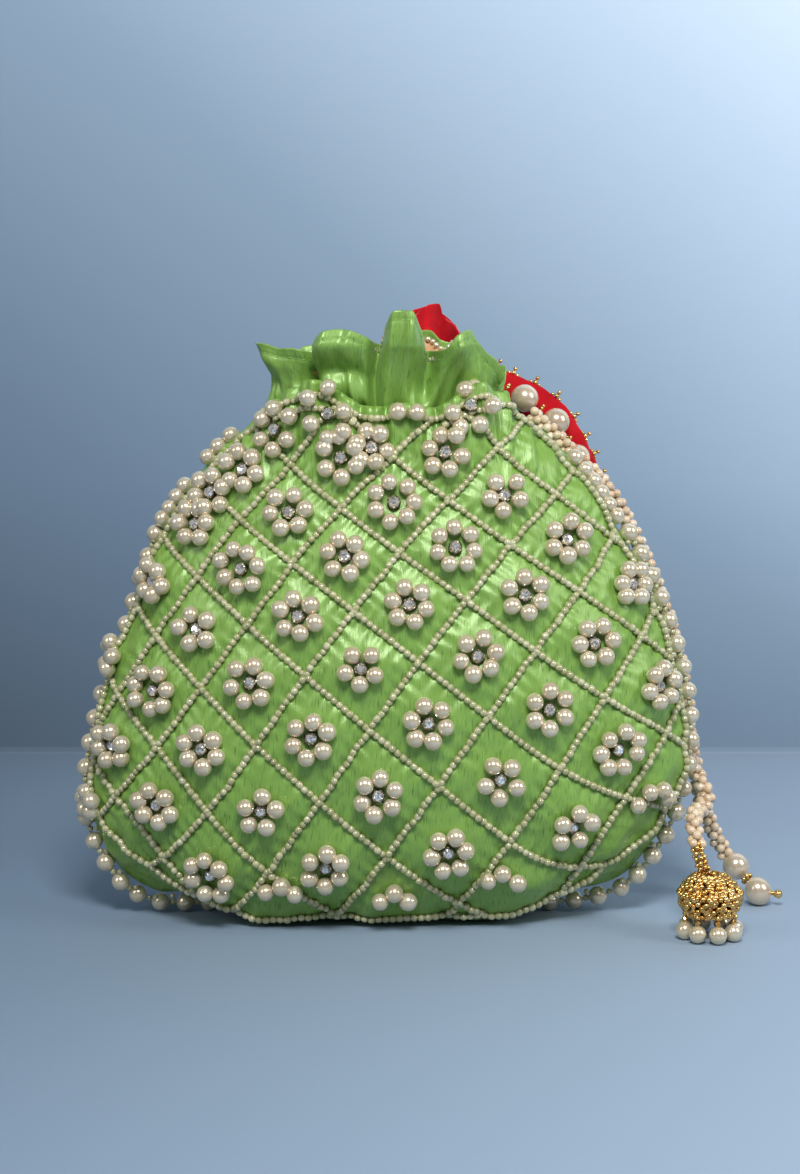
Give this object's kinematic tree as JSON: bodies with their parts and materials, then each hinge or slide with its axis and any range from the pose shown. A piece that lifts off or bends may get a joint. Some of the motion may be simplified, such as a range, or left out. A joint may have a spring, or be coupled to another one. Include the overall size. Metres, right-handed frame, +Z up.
{
  "type": "potli bag",
  "caption": "Green silk potli bag, a drawstring pouch with a lattice of beads and pearl flowers, a pearl edge, a red velvet handle and two beaded tassels.",
  "frame": {"origin": "on the floor, under the middle of the bag as it stands, ropes and tassels left out", "axes": "+X to the bag's right as seen from the front, -Y towards the viewer in front, +Z up through the mouth"},
  "size_m": [0.2659, 0.1215, 0.2259],
  "materials": {
    "green_silk": "satin",
    "tan_satin": "satin",
    "cream_pearl": "gloss",
    "peach_bead": "gloss",
    "red_velvet": "matte",
    "gold_bead": "polished"
  },
  "bodies": {
    "root": {"front_panel": "green_silk", "back_panel": "green_silk", "edge_pearl_string": "cream_pearl", "mouth_frill": "green_silk", "mouth_lining": "tan_satin", "handle_band": "red_velvet", "handle_pearl_string": "cream_pearl", "drawstring_a": "peach_bead", "drawstring_b": "peach_bead", "jhumka_ball": "gold_bead", "gold_bead_neck": "gold_bead", "fringe_pearl_1": "cream_pearl", "fringe_pearl_2": "cream_pearl", "fringe_pearl_3": "cream_pearl", "fringe_pearl_4": "cream_pearl", "fringe_pearl_5": "cream_pearl", "fringe_pearl_6": "cream_pearl", "fringe_pearl_7": "cream_pearl", "fringe_pearl_8": "cream_pearl", "tassel_pearl_1": "cream_pearl", "tassel_pearl_2": "cream_pearl", "tassel_gold_spacer": "gold_bead", "tassel_end_bead": "gold_bead"}
  },
  "joints": []
}
